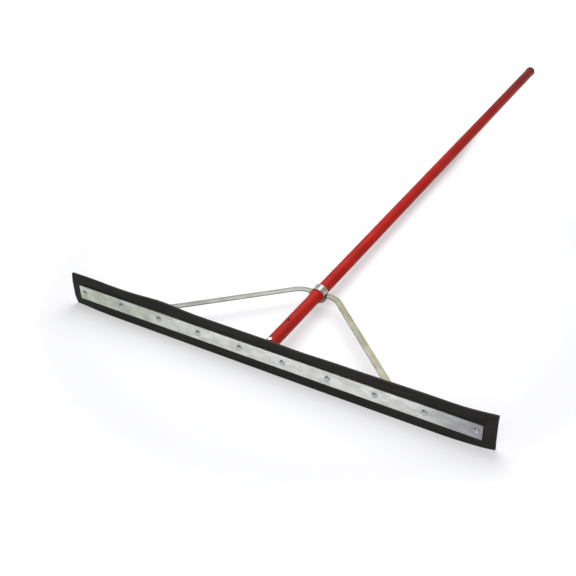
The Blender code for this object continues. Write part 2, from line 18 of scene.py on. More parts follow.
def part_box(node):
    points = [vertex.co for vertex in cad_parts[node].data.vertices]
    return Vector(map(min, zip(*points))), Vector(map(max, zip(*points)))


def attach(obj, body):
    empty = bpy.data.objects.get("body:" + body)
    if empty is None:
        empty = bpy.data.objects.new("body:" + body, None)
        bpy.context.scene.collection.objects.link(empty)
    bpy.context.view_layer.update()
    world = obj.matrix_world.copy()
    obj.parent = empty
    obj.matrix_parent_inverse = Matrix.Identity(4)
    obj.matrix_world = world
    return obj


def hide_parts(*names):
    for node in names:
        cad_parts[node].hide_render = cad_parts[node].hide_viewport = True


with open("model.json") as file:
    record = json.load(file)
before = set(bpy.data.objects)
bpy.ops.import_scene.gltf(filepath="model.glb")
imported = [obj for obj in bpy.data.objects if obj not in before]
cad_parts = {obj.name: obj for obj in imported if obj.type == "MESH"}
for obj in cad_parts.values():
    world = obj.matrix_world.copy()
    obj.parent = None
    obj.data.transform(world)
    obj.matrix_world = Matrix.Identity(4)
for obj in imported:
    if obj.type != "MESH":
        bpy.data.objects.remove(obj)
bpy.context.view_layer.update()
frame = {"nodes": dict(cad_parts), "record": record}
LOG = logging.getLogger("floor_squeegee")

# Sizes that several sub-assemblies share, in metres. All bolts are 3/16 in with 24 threads an inch
SHANK = 0.0047625
THREAD_PITCH = 0.0254 / 24
THREAD_DEPTH = 0.00045
BOLT_HOLE = 0.00268
PIN_HOLE = 0.0033

# Hexagon heads and nuts: the chamfer's slope, and its flat face's share of the width over flats
CHAMFER_SLOPE = math.tan(math.radians(30))
CHAMFER_FACE = 0.97
# Shares of the shank's radius: a screw's root and blunt tip, a nut's thread and its open ends
SCREW_ROOT, SCREW_TIP = 0.9, 0.75
NUT_THREAD, NUT_THREAD_DEPTH, NUT_MOUTH = 1.12, 0.09, 1.16

# Turns that point a form's Z to the front, to the back and down
TO_FRONT = Matrix.Rotation(math.radians(90), 4, "X")
TO_BACK = Matrix.Rotation(math.radians(-90), 4, "X")
DOWNWARDS = Matrix.Rotation(math.radians(180), 4, "X")

# Points round a screw, a small part, a tube and the collar
SCREW_POINTS, SMALL_POINTS, TUBE_POINTS, COLLAR_POINTS = 32, 48, 96, 128

# Faces that meet at less than this are shaded as one
SMOOTH_ANGLE = math.radians(32)

# Settings that several shader nodes share
SMOOTHSTEP = {"interpolation_type": "SMOOTHSTEP"}
RGBA = {"data_type": "RGBA"}

Pair = tuple[float, float]
Triple = tuple[float, float, float]
Rings = list[Pair]
Form = bpy.types.Object
Tree = bpy.types.NodeTree
Socket = bpy.types.NodeSocket
Settings = dict[str, object] | None
Values = dict[str | int, object] | None
Links = dict[str | int, Socket] | None


def linear(hex_colour: str) -> tuple[float, ...]:
    """Turns an sRGB hex colour into linear values.

    Args:
        hex_colour: The colour as #RRGGBB.

    Returns:
        Linear red, green and blue, and a full alpha.
    """
    values = [int(hex_colour[start : start + 2], 16) / 255 for start in (1, 3, 5)]
    parts = [v / 12.92 if v <= 0.04045 else ((v + 0.055) / 1.055) ** 2.4 for v in values]
    return (*parts, 1.0)


def wire(node: bpy.types.Node, values: Values = None, links: Links = None) -> None:
    """Sets a node's socket values and its incoming links.

    Args:
        node: The shader node.
        values: Socket defaults by name or number.
        links: Incoming sockets by name or number.
    """
    for name, value in (values or {}).items():
        node.inputs[name].default_value = value
    for name, socket in (links or {}).items():
        node.id_data.links.new(socket, node.inputs[name])


def add_node(
    tree: Tree, kind: str, settings: Settings = None, values: Values = None, links: Links = None
) -> bpy.types.Node:
    """Adds one shader node with its settings, socket values and incoming links.

    Args:
        tree: The node tree that takes the node.
        kind: The node's type name without its ShaderNode prefix.
        settings: Properties of the node itself.
        values: Socket defaults by name or number.
        links: Incoming sockets by name or number.

    Returns:
        The new node.
    """
    node = tree.nodes.new("ShaderNode" + kind)
    for name, value in (settings or {}).items():
        setattr(node, name, value)
    wire(node, values, links)
    return node


class Slot(Enum):
    """The record's material slots."""

    RUBBER = "rubber"
    ZINC = "zinc_steel"
    STRAP = "zinc_strap"
    BRIGHT = "bright_steel"
    DARK = "dark_steel"
    PAINT = "red_paint"
    PLASTIC = "black_plastic"


@dataclass(frozen=True)
class Finish:
    """A surface finish: two tones, a roughness and a fine relief, in one real material's pattern.

    Stretches are along X. A tint or painted shade along X is where it starts, where it is full, and
    its tone.
    """

    name: str
    slot: Slot
    base: str
    shade: str
    roughness: float
    rough_swing: float = 0.05
    metallic: float = 0.0
    ior: float | None = None
    specular: float = 0.5
    patch_mm: float = 40.0
    patch_stretch: float = 1.0
    patch_from: float = 0.35
    patch_to: float = 0.65
    grain_mm: float = 1.0
    grain_stretch: float = 1.0
    grain_height_mm: float = 0.02
    grain_shade: float = 0.0
    tint_and_shade: tuple[tuple[float, float, str], ...] = ()

    def build(self) -> bpy.types.Material:
        """Makes the material, or returns it if it is already there.

        Returns:
            The finished material.
        """
        found = bpy.data.materials.get(self.name)
        if found:
            return found
        material = bpy.data.materials.new(self.name)
        material.use_nodes = True
        tree = material.node_tree
        shader = tree.nodes["Principled BSDF"]
        place = add_node(tree, "TexCoord").outputs["Object"]
        patch = self.noise(tree, place, self.patch_mm, self.patch_stretch, 4.0)
        grain = self.noise(tree, place, self.grain_mm, self.grain_stretch, 2.0)
        least, most = self.roughness - self.rough_swing, self.roughness + self.rough_swing
        swing = {"To Min": least, "To Max": most}
        rough = add_node(tree, "MapRange", values=swing, links={"Value": patch})
        height = {"Strength": 1.0, "Distance": self.grain_height_mm / 1000}
        relief = add_node(tree, "Bump", values=height, links={"Height": grain})
        links = {"Roughness": rough.outputs["Result"], "Normal": relief.outputs["Normal"]}
        links["Base Color"] = self.colour(tree, place, patch, grain)
        wire(shader, {"Metallic": self.metallic, "Specular IOR Level": self.specular}, links)
        if self.ior:
            wire(shader, {"IOR": self.ior})
        material.diffuse_color = linear(self.base)
        return material

    def colour(self, tree: Tree, place: Socket, patch: Socket, grain: Socket) -> Socket:
        """Mixes the two tones by the patches, darkens them by the grain and multiplies in the tints
        and painted shade along X.

        Args:
            tree: The node tree that takes the nodes.
            place: The object's own coordinates.
            patch: The coarse pattern.
            grain: The fine pattern.

        Returns:
            The colour socket.
        """
        multiply = RGBA | {"blend_type": "MULTIPLY"}
        bounds = {"From Min": self.patch_from, "From Max": self.patch_to}
        share = add_node(tree, "MapRange", SMOOTHSTEP, bounds, {"Value": patch}).outputs["Result"]
        tones = {6: linear(self.base), 7: linear(self.shade)}
        colour = add_node(tree, "Mix", RGBA, tones, {0: share}).outputs[2]
        if self.grain_shade:
            bounds = {"From Min": 0.3, "From Max": 0.7, "To Min": 1.0 - self.grain_shade}
            dark = add_node(tree, "MapRange", None, bounds, {"Value": grain}).outputs["Result"]
            colour = add_node(tree, "Mix", multiply, {0: 1.0}, {6: colour, 7: dark}).outputs[2]
        # Tones along X: a yellower tint on the strap, painted shade on the bar's ends.
        for start, end, tone in self.tint_and_shade:
            along = add_node(tree, "SeparateXYZ", links={0: place}).outputs["X"]
            bounds = {"From Min": start, "From Max": end}
            share = add_node(tree, "MapRange", SMOOTHSTEP, bounds, {"Value": along})
            links = {0: share.outputs["Result"], 6: colour}
            colour = add_node(tree, "Mix", multiply, {7: linear(tone)}, links).outputs[2]
        return colour

    @staticmethod
    def noise(tree: Tree, place: Socket, size_mm: float, stretch: float, detail: float) -> Socket:
        """Adds a noise pattern of a real size, drawn out along X.

        Args:
            tree: The node tree that takes the nodes.
            place: The coordinates that it reads.
            size_mm: The pattern's size in millimetres.
            stretch: How many times longer it is along X.
            detail: The noise's octaves.

        Returns:
            The noise's factor socket.
        """
        scale = {"Scale": (1 / stretch, 1.0, 1.0)}
        mapped = add_node(tree, "Mapping", None, scale, {"Vector": place}).outputs["Vector"]
        sizes = {"Scale": 1000 / size_mm, "Detail": detail, "Roughness": 0.55}
        return add_node(tree, "TexNoise", None, sizes, {"Vector": mapped}).outputs[0]


# Black sheet rubber, cut from a roll: dull, with a grey bloom and faint lines along the roll. The
# lines are drawn coarser than real ones, so that they show.
SHEET_RUBBER = Finish(
    "sheet_rubber", Slot.RUBBER, "#1F1E1C", "#2F2D2A",
    roughness=0.62, ior=1.52, specular=0.18, patch_mm=9.0, patch_stretch=9.0, grain_mm=1.4,
    grain_stretch=40.0, grain_height_mm=0.05, grain_shade=0.35,
)
# Zinc plated flat bar: pale and satin, with cloudy patches in the plate, and painted shade at both
# ends, the right end darker and bluer. Its rolling lines run along the bar, drawn coarser than real
# ones, so that they show.
ZINC_PLATED_BAR = Finish(
    "zinc_plated_bar", Slot.ZINC, "#F0F1EE", "#D6D7D3",
    roughness=0.36, rough_swing=0.08, metallic=1.0, patch_mm=14.0, patch_stretch=2.2,
    patch_from=0.36, patch_to=0.68, grain_mm=1.4, grain_stretch=18.0, grain_height_mm=0.014,
    grain_shade=0.18, tint_and_shade=((-0.04, -0.36, "#E1E5D9"), (0.27, 0.45, "#B9B8BE")),
)
# Zinc plated strap with a passivated film: duller than the bars, and yellower along its right leg.
PASSIVATED_ZINC_STRAP = Finish(
    "passivated_zinc_strap", Slot.STRAP, "#93938E", "#84847E",
    roughness=0.52, rough_swing=0.06, metallic=1.0, patch_mm=30.0, grain_mm=2.0,
    grain_height_mm=0.014, grain_shade=0.12, tint_and_shade=((-0.06, 0.05, "#F7F2DD"),),
)
# Zinc plated bolts, nuts and washers: bright and cold formed, a little uneven. The unevenness is
# drawn coarse, so that it shows on heads a few millimetres wide.
ZINC_PLATED_FASTENER = Finish(
    "zinc_plated_fastener", Slot.ZINC, "#CBCCCE", "#A5A6AA",
    roughness=0.17, rough_swing=0.06, metallic=1.0, patch_mm=4.0, grain_mm=3.2,
    grain_height_mm=0.10, grain_shade=0.10,
)
# Weld bead under sprayed zinc: grainy, duller and greyer than the plate round it.
WELD_BEAD = Finish(
    "zinc_sprayed_weld", Slot.ZINC, "#A9ABAD", "#8C8F92",
    roughness=0.5, metallic=1.0, patch_mm=3.0, grain_mm=0.6, grain_height_mm=0.05,
    grain_shade=0.15,
)
# Nickel-chrome plated collar: mirror bright with soft smudges.
CHROME_PLATE = Finish(
    "chrome_plate", Slot.BRIGHT, "#B4ADA9", "#8E8580",
    roughness=0.14, metallic=1.0, patch_mm=12.0, grain_mm=5.0,
)
# Black oxide spring steel: near black, oily satin.
BLACK_OXIDE_STEEL = Finish(
    "black_oxide_steel", Slot.DARK, "#2A2A2C", "#3A3A3E",
    roughness=0.42, metallic=1.0, patch_mm=2.0, grain_mm=0.4, grain_height_mm=0.006,
)
# Red powder coat over steel tube: a dull gloss, a slight orange peel and a deeper tone in patches.
RED_POWDER_COAT = Finish(
    "red_powder_coat", Slot.PAINT, "#B01F17", "#A31B13",
    roughness=0.42, rough_swing=0.06, ior=1.5, specular=0.10, patch_mm=60.0, grain_mm=2.2,
    grain_height_mm=0.04, grain_shade=0.06,
)
# Black polyethylene end cap: moulded with a fine spark-eroded grain.
MOULDED_POLYETHYLENE = Finish(
    "moulded_polyethylene", Slot.PLASTIC, "#1C1C1D", "#262627",
    roughness=0.5, ior=1.51, patch_mm=12.0, grain_mm=0.45, grain_height_mm=0.03,
)

CAD_FINISHES = (SHEET_RUBBER, ZINC_PLATED_BAR, PASSIVATED_ZINC_STRAP, CHROME_PLATE)
CAD_FINISHES += (BLACK_OXIDE_STEEL, RED_POWDER_COAT, MOULDED_POLYETHYLENE)


def dress(node: str, finish: Finish) -> None:
    """Gives a CAD node's every material slot the finish.

    Args:
        node: The CAD node's name.
        finish: Its finish.
    """
    obj = frame["nodes"][node]
    material = finish.build()
    if not obj.material_slots:
        obj.data.materials.append(material)
    for slot in obj.material_slots:
        slot.material = material


def choose(obj: Form) -> None:
    """Makes one object the only selected one and the active one.

    Args:
        obj: The object.
    """
    bpy.ops.object.select_all(action="DESELECT")
    obj.select_set(True)
    bpy.context.view_layer.objects.active = obj


@contextmanager
def editing(obj: Form) -> Iterator[None]:
    """Opens one mesh in edit mode with everything selected, and closes it again.

    Args:
        obj: The mesh object.

    Yields:
        Nothing, while the mesh is open.
    """
    choose(obj)
    bpy.ops.object.mode_set(mode="EDIT")
    bpy.ops.mesh.select_all(action="SELECT")
    yield
    bpy.ops.object.mode_set(mode="OBJECT")


def settle(obj: Form, place: Matrix) -> Form:
    """Moves a new form to its place and takes the place into its mesh.

    Args:
        obj: The form, made about the origin.
        place: Where it goes in the row frame.

    Returns:
        The same object.
    """
    obj.matrix_world = place @ obj.matrix_world
    choose(obj)
    bpy.ops.object.transform_apply()
    return obj


def turned(rings: Rings, segments: int, hollow: bool = False) -> Form:
    """Raises a turned form about Z, ring by ring: a circle is added, extruded and resized.

    Args:
        rings: Radius and height of each ring, from the first to the last.
        segments: The points in a ring.
        hollow: Joins the last ring to the first one instead of capping both.

    Returns:
        A closed form with its faces outwards.
    """
    bpy.ops.object.select_all(action="DESELECT")
    radius, height = rings[0]
    fill = "NOTHING" if hollow else "NGON"
    bpy.ops.mesh.primitive_circle_add(
        vertices=segments, radius=radius, fill_type=fill, location=(0.0, 0.0, height)
    )
    obj = bpy.context.object
    bpy.ops.object.transform_apply()
    with editing(obj):
        for (old_radius, old_height), (radius, height) in zip(rings, rings[1:]):
            rise = (0.0, 0.0, height - old_height)
            bpy.ops.mesh.extrude_region_move(TRANSFORM_OT_translate={"value": rise})
            share = radius / old_radius
            bpy.ops.transform.resize(value=(share, share, 1.0), center_override=(0.0, 0.0, height))
        if hollow:
            bpy.ops.mesh.select_all(action="DESELECT")
            bpy.ops.mesh.select_non_manifold()
            bpy.ops.mesh.bridge_edge_loops()
        bpy.ops.mesh.select_all(action="SELECT")
        bpy.ops.mesh.normals_make_consistent(inside=False)
    return obj


def boxed(size: Sequence[float], centre: Sequence[float]) -> Form:
    """Adds a plain box, which its caller shapes further or cuts with.

    Args:
        size: Its X, Y and Z sizes.
        centre: Its middle.

    Returns:
        The box, its size in its mesh.
    """
    bpy.ops.object.select_all(action="DESELECT")
    bpy.ops.mesh.primitive_cube_add(size=1.0, location=centre, scale=size)
    bpy.ops.object.transform_apply()
    return bpy.context.object


def apply_modifier(obj: Form, modifier: bpy.types.Modifier) -> None:
    """Takes a modifier's result into the form's mesh."""
    choose(obj)
    bpy.ops.object.modifier_apply(modifier=modifier.name)


def combine(obj: Form, others: Iterable[Form], operation: str = "DIFFERENCE") -> Form:
    """Cuts, joins or crops a form with others, which are used up.

    Args:
        obj: The form that stays.
        others: The forms that it is combined with.
        operation: The boolean operation.

    Returns:
        The same object, with the result in its mesh.
    """
    for other in others:
        modifier = obj.modifiers.new(operation.title(), "BOOLEAN")
        modifier.operation = operation
        modifier.object = other
        apply_modifier(obj, modifier)
        bpy.data.objects.remove(other)
    return obj


def close_up(obj: Form) -> Form:
    """Merges points that a cut left on one spot, and fills a triangle that it left open.

    Args:
        obj: The form after its cuts.

    Returns:
        The same object.
    """
    with editing(obj):
        bpy.ops.mesh.remove_doubles(threshold=0.000001)
        bpy.ops.mesh.fill_holes(sides=3)
    return obj


def round_edges(obj: Form, width: float, segments: int = 3) -> Form:
    """Rounds the form's sharp edges.

    Args:
        obj: The form.
        width: The rounding's width.
        segments: Its steps.

    Returns:
        The same object.
    """
    modifier = obj.modifiers.new("Round", "BEVEL")
    modifier.width = width
    modifier.segments = segments
    modifier.limit_method = "ANGLE"
    modifier.angle_limit = math.radians(60)
    apply_modifier(obj, modifier)
    return obj


def copy_of(obj: Form, place: Matrix) -> Form:
    """Copies a form with a mesh of its own and settles the copy at a place.

    Args:
        obj: The form, which stays as it is.
        place: Where the copy goes in the row frame.

    Returns:
        The copy.
    """
    choose(obj)
    bpy.ops.object.duplicate(linked=False)
    return settle(bpy.context.object, place)


def finish_piece(obj: Form, name: str, finish: Finish, node: str, body: str = "head") -> None:
    """Names a finished form, dresses it, and lets it stand for its CAD node.

    Args:
        obj: The form, in the row frame.
        name: Its name.
        finish: Its finish.
        node: The CAD node that it replaces.
        body: The body that it rides on.
    """
    choose(obj)
    bpy.ops.object.shade_smooth_by_angle(angle=SMOOTH_ANGLE)
    obj.name = name
    obj.data.name = name
    obj.data.materials.clear()
    obj.data.materials.append(finish.build())
    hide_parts(node)
    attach(obj, body)
    LOG.info("%s: %d faces, %s", name, len(obj.data.polygons), finish.name)


def thread_rings(radius: float, depth: float, start: float, end: float) -> Rings:
    """Roots and crests of a screw thread, drawn as rings.

    Args:
        radius: The thread's outer radius.
        depth: How much smaller its roots are.
        start: Where it starts along the axis.
        end: Where it ends.

    Returns:
        Radius and height of each root and crest.
    """
    rings = []
    for i in range(int((end - start) / THREAD_PITCH)):
        height = start + i * THREAD_PITCH
        rings += [(radius - depth, height), (radius, height + THREAD_PITCH / 2)]
    return rings


def hexagon(across_flats: float, height: float) -> Form:
    """A hexagon from Z = 0 up, its corners chamfered by 30 degrees at both ends.

    Args:
        across_flats: The width over its flats.
        height: Its height.

    Returns:
        The form.
    """
    corner = across_flats / math.sqrt(3)
    bpy.ops.object.select_all(action="DESELECT")
    bpy.ops.mesh.primitive_cylinder_add(
        vertices=6, radius=corner, depth=height, location=(0.0, 0.0, height / 2)
    )
    body = bpy.context.object
    bpy.ops.object.transform_apply()
    face = across_flats / 2 * CHAMFER_FACE
    wide = corner * 1.03
    drop = (wide - face) * CHAMFER_SLOPE
    spare = 0.0001
    end = face - spare / CHAMFER_SLOPE
    crop = turned([(end, -spare), (wide, drop), (wide, height - drop), (end, height + spare)], 64)
    return combine(body, [crop], "INTERSECT")


def hex_screw(length: float, across_flats: float, head_height: float) -> Form:
    """A hexagon screw: its head below Z = 0 and its threaded shank up to its length.

    Args:
        length: The shank's length.
        across_flats: The head's width.
        head_height: The head's height.

    Returns:
        The form.
    """
    radius = SHANK / 2
    root = radius * SCREW_ROOT
    rings = [(root, -head_height / 2), (root, 0.0002)]
    rings += thread_rings(radius, THREAD_DEPTH, 0.0006, length - 0.0004)
    rings.append((radius * SCREW_TIP, length))
    head = settle(hexagon(across_flats, head_height), Matrix.Translation((0, 0, -head_height)))
    return combine(turned(rings, SCREW_POINTS), [head], "UNION")


def hex_nut(across_flats: float, thickness: float) -> Form:
    """A chamfered hexagon nut from Z = 0 up, with a threaded bore.

    Args:
        across_flats: The width over its flats.
        thickness: Its thickness.

    Returns:
        The form.
    """
    bore = SHANK / 2
    mouth = bore * NUT_MOUTH
    rings = [(mouth, -0.0003), (mouth, 0.00005)]
    rings += thread_rings(bore * NUT_THREAD, bore * NUT_THREAD_DEPTH, 0.0003, thickness - 0.0003)
    rings += [(mouth, thickness - 0.00005), (mouth, thickness + 0.0003)]
    return combine(hexagon(across_flats, thickness), [turned(rings, SCREW_POINTS)])


def centre_of(node: str) -> Vector:
    """The middle of a CAD node's box."""
    low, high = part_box(node)
    return (low + high) / 2


def back_from(y: float) -> Matrix:
    """A place on the handle's axis, its Z pointing back along the handle."""
    return Matrix.Translation((0.0, y, centre_of("handle_tube").z)) @ TO_BACK


def upright_at(y: float, offset: float = 0.0) -> Matrix:
    """A place above the handle's axis, its Z pointing up."""
    return Matrix.Translation((0.0, y, centre_of("handle_tube").z + offset))


def over(node: str, height: float) -> Matrix:
    """A place at a height on a node's own upright axis."""
    middle = centre_of(node)
    return Matrix.Translation((middle.x, middle.y, height))


def drill(radius: float, length: float, place: Matrix) -> Form:
    """Adds a round cutter with its middle at a place and its length along that place's Z."""
    return settle(turned([(radius, -length / 2), (radius, length / 2)], SMALL_POINTS), place)


def upright_drill(
    node: str, radius: float = BOLT_HOLE, length: float = 0.06, offset: float = 0.0
) -> Form:
    """Adds an upright cutter on the handle's axis, as far along it as a node is."""
    return drill(radius, length, upright_at(centre_of(node).y, offset))


def strip_drill(node: str, y: float, length: float = 0.02) -> Form:
    """Adds a cutter along a strip bolt's axis, with its middle at a Y."""
    middle = centre_of(node)
    return drill(BOLT_HOLE, length, Matrix.Translation((middle.x, y, middle.z)) @ TO_FRONT)


@dataclass(frozen=True)
class Wave:
    """A soft wave in a lip of the rubber: its place along X, its reach and its lean to the back."""

    place: float
    reach: float
    lean: float

    def at(self, x: float) -> float:
        """How far back the lip's edge stands at a place along X."""
        return self.lean * math.exp(-(((x - self.place) / self.reach) ** 2))


@dataclass
class RubberBlade:
    """The rubber sheet: its lips stand in soft waves, and its right end leans back past the strips.

    A lip bends the more the further it is from the strips, and its waves fade to the share that is
    kept towards the right end.
    """

    columns: int = 160
    lip_rows: int = 6
    edge: float = 0.0007
    upper_lip: tuple[Wave, ...] = (
        Wave(-0.43, 0.070, 0.0028),
        Wave(-0.235, 0.055, 0.0055),
        Wave(0.085, 0.045, -0.0018),
        Wave(0.33, 0.080, 0.0020),
        Wave(0.478, 0.056, 0.0100),
    )
    lower_lip: tuple[Wave, ...] = (
        Wave(-0.47, 0.060, 0.0048),
        Wave(0.10, 0.20, -0.0006),
        Wave(0.475, 0.060, 0.0068),
    )
    lip_bend: float = 1.4
    end_lean: float = 0.0068
    end_bend: float = 1.2
    waves_kept: float = 0.3

    def build(self) -> None:
        """Models the sheet and puts it in the CAD blade's place."""
        low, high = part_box("rubber_blade")
        strip_low, strip_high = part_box("front_strip")
        blade = boxed(high - low, (low + high) / 2)
        lower = (low.z, strip_low.z)
        upper = (strip_high.z, high.z)
        rows = [
            start + (end - start) * i / self.lip_rows
            for start, end in (lower, upper)
            for i in range(self.lip_rows + 1)
        ]
        columns = [low.x + (high.x - low.x) * i / self.columns for i in range(1, self.columns)]
        with editing(blade):
            self.slice_mesh(columns, Vector((1.0, 0.0, 0.0)))
            self.slice_mesh(rows[1:-1], Vector((0.0, 0.0, 1.0)))
        for vertex in blade.data.vertices:
            past = max(0.0, (vertex.co.x - strip_high.x) / (high.x - strip_high.x))
            lean = self.lean_at(vertex.co, lower, upper) * (1 - (1 - self.waves_kept) * past)
            vertex.co.y += lean + self.end_lean * past**self.end_bend
        round_edges(blade, self.edge)
        bolts = [name for name in frame["nodes"] if name.startswith("strip_bolt")]
        close_up(combine(blade, [strip_drill(name, 0.0) for name in bolts]))
        finish_piece(blade, "rubber_sheet", SHEET_RUBBER, "rubber_blade")

    def slice_mesh(self, places: Sequence[float], normal: Vector) -> None:
        """Cuts the open mesh at each place along an axis.

        Args:
            places: The places of the cuts, as distances from the origin.
            normal: The axis, of unit length.
        """
        for place in places:
            bpy.ops.mesh.select_all(action="SELECT")
            bpy.ops.mesh.bisect(plane_co=normal * place, plane_no=normal)

    def lean_at(self, point: Vector, lower: Pair, upper: Pair) -> float:
        """How far back a lip stands at a point.

        Args:
            point: The point on the flat sheet.
            lower: The heights of the lower lip's free edge and of its root.
            upper: The heights of the upper lip's root and of its free edge.

        Returns:
            The distance along +Y.
        """
        if point.z > upper[0]:
            free = (point.z - upper[0]) / (upper[1] - upper[0])
            waves = self.upper_lip
        elif point.z < lower[1]:
            free = (lower[1] - point.z) / (lower[1] - lower[0])
            waves = self.lower_lip
        else:
            return 0.0
        return free**self.lip_bend * sum(wave.at(point.x) for wave in waves)


@dataclass
class StripFasteners:
    """The carriage bolts along the strips with their washers and nuts."""

    head_height: float = 0.0029
    head_rim: float = 0.0005
    rim_under: float = 0.96
    rim_soft: float = 0.00015
    dome_steps: int = 10
    dome_flat: float = 0.3
    neck_length: float = 0.0030
    neck_soft: float = 0.0003
    neck_sunk: float = 0.0001
    plain_length: float = 0.0075
    tip_length: float = 0.0004
    tip_share: float = 0.72
    nut_width: float = 0.0095
    nut_thickness: float = 0.0034
    washer_width: float = 0.0127
    washer_thickness: float = 0.0012
    washer_play: float = 0.0003
    washer_soft: float = 0.00015

    def build(self) -> None:
        """Models one bolt, washer and nut, and copies them along the strips."""
        rows = (
            ("strip_bolt", self.bolt(), TO_FRONT, "carriage_bolt"),
            ("strip_washer", self.washer(), TO_BACK, "flat_washer"),
            ("strip_nut", hex_nut(self.nut_width, self.nut_thickness), TO_BACK, "hexagon_nut"),
        )
        for prefix, form, turn, title in rows:
            for node in sorted(name for name in frame["nodes"] if name.startswith(prefix)):
                low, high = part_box(node)
                middle = (low + high) / 2
                y = low.y + self.head_height if prefix == "strip_bolt" else low.y
                piece = copy_of(form, Matrix.Translation((middle.x, y, middle.z)) @ turn)
                number = node.rsplit("_", 1)[1]
                finish_piece(piece, f"{title}_{number}", ZINC_PLATED_FASTENER, node)
            bpy.data.objects.remove(form)

    def bolt(self) -> Form:
        """A carriage bolt: domed head above Z = 0, square neck under it, threaded end.

        Returns:
            The form.
        """
        low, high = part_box("strip_bolt_01")
        rim = (high.x - low.x) / 2
        length = high.y - low.y - self.head_height
        radius = SHANK / 2
        rings = [(radius * self.tip_share, -length)]
        rings += thread_rings(radius, THREAD_DEPTH, self.tip_length - length, -self.plain_length)
        rings += [(radius, 0.0003 - self.plain_length), (radius, -self.neck_sunk)]
        rings += [(rim * self.rim_under, 0.0), (rim, self.rim_soft), (rim, self.head_rim)]
        dome = self.head_height - self.head_rim
        ball = (rim**2 + dome**2) / (2 * dome)
        top = math.asin(rim / ball)
        for i in range(1, self.dome_steps + 1):
            angle = top * (1 - i / (self.dome_steps + self.dome_flat))
            height = self.head_height - ball + ball * math.cos(angle)
            rings.append((ball * math.sin(angle), height))
        bolt = turned(rings, SMALL_POINTS)
        size = (SHANK, SHANK, self.neck_length)
        neck = boxed(size, (0.0, 0.0, self.neck_sunk - self.neck_length / 2))
        return combine(bolt, [round_edges(neck, self.neck_soft, 2)], "UNION")

    def washer(self) -> Form:
        """A pressed flat washer from Z = 0 up, its edges a little rounded.

        Returns:
            The form.
        """
        outer = self.washer_width / 2
        inner = SHANK / 2 + self.washer_play
        top = self.washer_thickness
        soft = self.washer_soft
        rings = [(inner + soft, 0.0), (outer - soft, 0.0), (outer, soft), (outer, top - soft)]
        rings += [(outer - soft, top), (inner + soft, top), (inner, top - soft), (inner, soft)]
        return turned(rings, SMALL_POINTS, hollow=True)


@dataclass
class SocketBracket:
    """The bracket behind the strips: a pressed plate, the spigot and the weld round its root."""

    plate_thickness: float = 0.0032
    plate_corner: float = 0.0060
    plate_edge: float = 0.0005
    spigot_radius: float = 0.0108
    spigot_wall: float = 0.0022
    outer_chamfer: float = 0.0004
    inner_chamfer: float = 0.0003
    weld_leg: float = 0.0033
    weld_profile: tuple[Pair, ...] = ((0.86, 0.20), (0.62, 0.44), (0.36, 0.70), (0.12, 0.92))
    weld_gap: float = 0.0001
    weld_ripples: int = 40
    ripple_out: float = 0.10
    ripple_up: float = 0.5
    ripple_lag: float = 2.4

    def build(self) -> None:
        """Models the bracket and its weld bead."""
        low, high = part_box("socket_bracket")
        middle = (low + high) / 2
        size = (high.x - low.x, self.plate_thickness, high.z - low.z)
        plate = boxed(size, (middle.x, low.y + self.plate_thickness / 2, middle.z))
        self.round_corners(plate)
        round_edges(plate, self.plate_edge, 2)
        combine(plate, [settle(self.spigot(high.y - low.y), back_from(low.y))], "UNION")
        holes = [strip_drill(node, middle.y, 0.4) for node in ("strip_bolt_05", "strip_bolt_06")]
        holes += [upright_drill("socket_bolt"), upright_drill("spring_pin", PIN_HOLE)]
        combine(plate, holes)
        finish_piece(plate, "bracket_plate", ZINC_PLATED_BAR, "socket_bracket")
        weld = settle(self.weld_bead(), back_from(low.y + self.plate_thickness))
        finish_piece(weld, "bracket_weld", WELD_BEAD, "socket_bracket")

    def spigot(self, length: float) -> Form:
        """The spigot's tube, rooted in the middle of the plate's thickness.

        Args:
            length: How far its end stands from the plate's front.

        Returns:
            The form.
        """
        outer = self.spigot_radius
        inner = outer - self.spigot_wall
        root = self.plate_thickness / 2
        rings = [(outer, root), (outer, length - self.outer_chamfer)]
        rings += [(outer - self.outer_chamfer, length), (inner + self.inner_chamfer, length)]
        rings += [(inner, length - self.inner_chamfer), (inner, root)]
        return turned(rings, TUBE_POINTS, hollow=True)

    def round_corners(self, plate: Form) -> None:
        """Rounds the plate's four corners, seen along Y.

        Args:
            plate: The plate as a box.
        """
        with editing(plate):
            bpy.ops.mesh.select_mode(type="EDGE")
            bpy.ops.mesh.select_all(action="DESELECT")
            work = bmesh.from_edit_mesh(plate.data)
            for edge in work.edges:
                start, end = (vertex.co for vertex in edge.verts)
                if abs(start.x - end.x) < 1e-6 and abs(start.z - end.z) < 1e-6:
                    edge.select = True
            bmesh.update_edit_mesh(plate.data)
            bpy.ops.mesh.bevel(offset=self.plate_corner, segments=8, affect="EDGES")
            bpy.ops.mesh.select_mode(type="VERT")

    def weld_bead(self) -> Form:
        """A fillet weld round the spigot's root, its ripples laid as it was run.

        Returns:
            The form, from Z = 0 up.
        """
        leg = self.weld_leg
        radius = self.spigot_radius
        gap = self.weld_gap
        rings = [(radius + gap, gap), (radius + leg, gap)]
        rings += [(radius + leg * out, leg * up) for out, up in self.weld_profile]
        rings.append((radius + gap, leg))
        bead = turned(rings, 5 * self.weld_ripples, hollow=True)
        for vertex in bead.data.vertices:
            angle = math.atan2(vertex.co.y, vertex.co.x)
            out = math.hypot(vertex.co.x, vertex.co.y) - radius
            swell = out * vertex.co.z / leg**2
            phase = self.weld_ripples * angle + self.ripple_lag * vertex.co.z / leg
            swell *= 0.5 + 0.5 * math.cos(phase)
            vertex.co.x *= 1 + self.ripple_out * swell
            vertex.co.y *= 1 + self.ripple_out * swell
            vertex.co.z *= 1 + self.ripple_up * swell
        return bead


